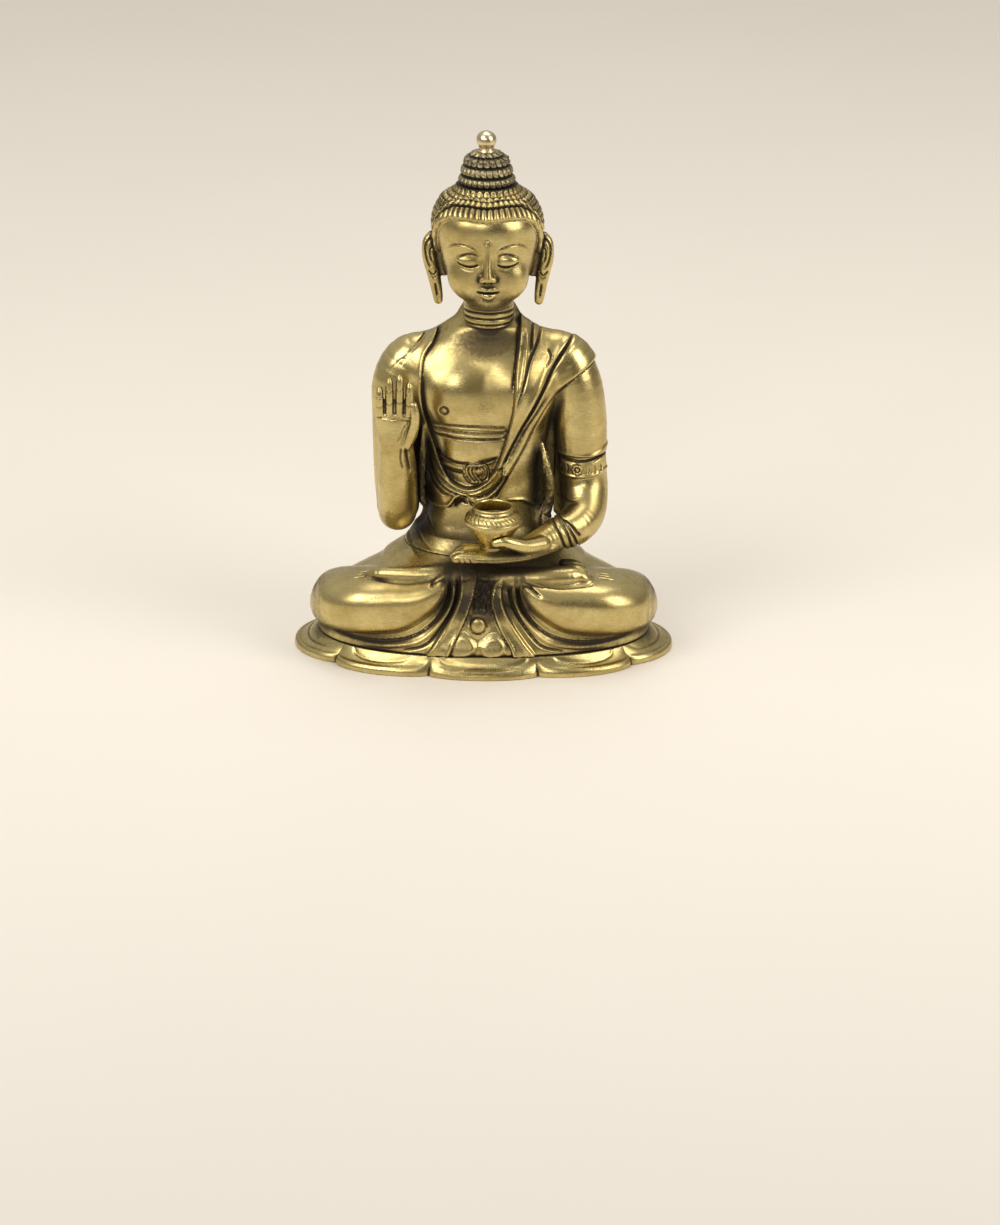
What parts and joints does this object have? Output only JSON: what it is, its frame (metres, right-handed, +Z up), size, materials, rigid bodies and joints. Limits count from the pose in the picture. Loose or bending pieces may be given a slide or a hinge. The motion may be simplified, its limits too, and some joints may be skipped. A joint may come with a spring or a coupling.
{
  "type": "seated buddha statue",
  "caption": "Seated brass buddha statue with a raised right hand and an alms bowl, cast in hollow sections that plug, pin and screw together on a petalled base.",
  "frame": {"origin": "centre of the base on the surface that the statue stands on", "axes": "+Z up through the crown, the face looks along -Y, the figure's right hand is at -X"},
  "size_m": [0.153, 0.084, 0.216],
  "materials": {
    "cast_brass": "satin polished cast brass with dark patina in the recesses",
    "aged_brass": "aged cast brass, dark between the curls",
    "pale_brass": "pale brushed brass",
    "screw_steel": "zinc plated steel"
  },
  "bodies": {
    "root": {"lotus_base": "cast_brass", "lap_casting": "cast_brass", "torso_casting": "cast_brass", "head_casting": "cast_brass", "topknot": "aged_brass", "finial_jewel": "pale_brass", "right_forearm": "cast_brass", "left_forearm": "cast_brass", "alms_bowl": "cast_brass", "bowl_screw": "screw_steel", "neck_pin": "cast_brass", "right_elbow_pin": "cast_brass", "left_elbow_pin": "cast_brass", "waist_screws": "screw_steel", "base_screws": "screw_steel", "base_washers": "pale_brass"}
  },
  "joints": []
}
